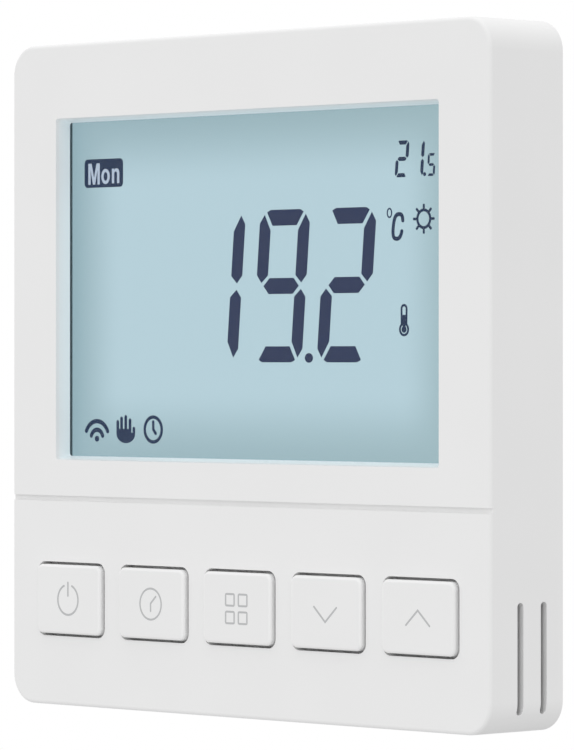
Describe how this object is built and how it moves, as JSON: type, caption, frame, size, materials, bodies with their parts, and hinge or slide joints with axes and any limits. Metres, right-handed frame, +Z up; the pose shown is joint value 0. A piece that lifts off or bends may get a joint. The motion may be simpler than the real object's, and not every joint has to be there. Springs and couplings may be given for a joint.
{
  "type": "wall thermostat",
  "caption": "Square wall thermostat with a recessed lit display, a row of push buttons, side air slots and a shallow box behind for a round flush wall box.",
  "frame": {"origin": "centre of the flat rear face that lies on the wall", "axes": "+Z up; +X to the right seen from the front; the display faces -Y; +Y points into the wall"},
  "size_m": [0.086, 0.0316, 0.086],
  "materials": {
    "cover_plastic": "fine moulded texture",
    "button_plastic": "satin moulded",
    "housing_plastic": "moulded",
    "clear_lens": "clear acrylic, polished",
    "lcd_glass": "polarised glass, lit from behind",
    "white_film": "white",
    "acrylic_guide": "clear acrylic",
    "led_body": "moulded",
    "zebra_rubber": "layered conductive rubber",
    "board_green": "glass-fibre laminate with solder resist",
    "black_mould": "moulded",
    "relay_plastic": "moulded",
    "tinned_steel": "tinned",
    "galvanised_steel": "galvanised sheet",
    "screw_steel": "zinc plated",
    "plunger_plastic": "moulded",
    "gold_pins": "gold plated",
    "terminal_plastic": "moulded",
    "terminal_brass": "nickel-plated brass",
    "coil_former": "moulded",
    "ferrite": "sintered",
    "winding_tape": "yellow tape",
    "copper_wire": "enamelled wire",
    "soft_iron": "nickel plated",
    "contact_brass": "brass with silver contact",
    "capacitor_can": "sleeved can",
    "film_case": "moulded",
    "varistor_coating": "dipped",
    "fuse_case": "moulded"
  },
  "bodies": {
    "base_unit": {"rear_housing": "housing_plastic", "mounting_bracket": "galvanised_steel", "power_cover": "housing_plastic", "power_cover_screws": "screw_steel", "power_board": "board_green", "header_base": "black_mould", "header_pins": "gold_pins", "terminal_block": "terminal_plastic", "terminal_clamps": "terminal_brass", "terminal_screws": "screw_steel", "transformer_bobbin": "coil_former", "transformer_core": "ferrite", "transformer_winding": "winding_tape", "electrolytic_capacitors": "capacitor_can", "film_capacitor": "film_case", "varistor": "varistor_coating", "fuse": "fuse_case", "rectifier_diodes": "black_mould", "supply_chip": "black_mould", "relay_base": "black_mould", "relay_case": "relay_plastic", "relay_bobbin": "coil_former", "relay_winding": "copper_wire", "relay_yoke": "soft_iron", "relay_contact": "contact_brass"},
    "relay_lever": {"relay_armature": "soft_iron"},
    "front_unit": {"front_cover": "cover_plastic", "display_lens": "clear_lens", "lcd_front_glass": "lcd_glass", "lcd_rear_glass": "lcd_glass", "lcd_holder": "white_film", "backlight_diffuser": "white_film", "light_guide": "acrylic_guide", "backlight_reflector": "white_film", "backlight_leds": "led_body", "zebra_strip": "zebra_rubber", "main_board": "board_green", "board_screws": "screw_steel", "microcontroller": "black_mould", "clock_crystal": "tinned_steel", "wifi_board": "board_green", "wifi_shield": "tinned_steel", "temperature_sensor": "black_mould", "board_socket": "black_mould", "switch_bases": "black_mould", "switch_domes": "tinned_steel", "switch_covers": "tinned_steel"},
    "power_key": {"power_button": "button_plastic", "power_plunger": "plunger_plastic"},
    "timer_key": {"timer_button": "button_plastic", "timer_plunger": "plunger_plastic"},
    "menu_key": {"menu_button": "button_plastic", "menu_plunger": "plunger_plastic"},
    "down_key": {"down_button": "button_plastic", "down_plunger": "plunger_plastic"},
    "up_key": {"up_button": "button_plastic", "up_plunger": "plunger_plastic"}
  },
  "joints": [
    {"name": "front_unit_pull", "type": "slide", "parent": "base_unit", "child": "front_unit", "axis": [0, -1, 0], "range_m": [0, 0.03]},
    {"name": "relay_pull_in", "type": "hinge", "parent": "base_unit", "child": "relay_lever", "pos_m": [-0.00115, 0.0143, 0.0103], "axis": [0, 0, -1], "range_deg": [0, 3.8], "stiffness_Nm_per_rad": 0.05},
    {"name": "power_press", "type": "slide", "parent": "front_unit", "child": "power_key", "axis": [0, 1, 0], "range_m": [0, 0.0003], "stiffness_N_per_m": 1500},
    {"name": "timer_press", "type": "slide", "parent": "front_unit", "child": "timer_key", "axis": [0, 1, 0], "range_m": [0, 0.0003], "stiffness_N_per_m": 1500},
    {"name": "menu_press", "type": "slide", "parent": "front_unit", "child": "menu_key", "axis": [0, 1, 0], "range_m": [0, 0.0003], "stiffness_N_per_m": 1500},
    {"name": "down_press", "type": "slide", "parent": "front_unit", "child": "down_key", "axis": [0, 1, 0], "range_m": [0, 0.0003], "stiffness_N_per_m": 1500},
    {"name": "up_press", "type": "slide", "parent": "front_unit", "child": "up_key", "axis": [0, 1, 0], "range_m": [0, 0.0003], "stiffness_N_per_m": 1500}
  ]
}
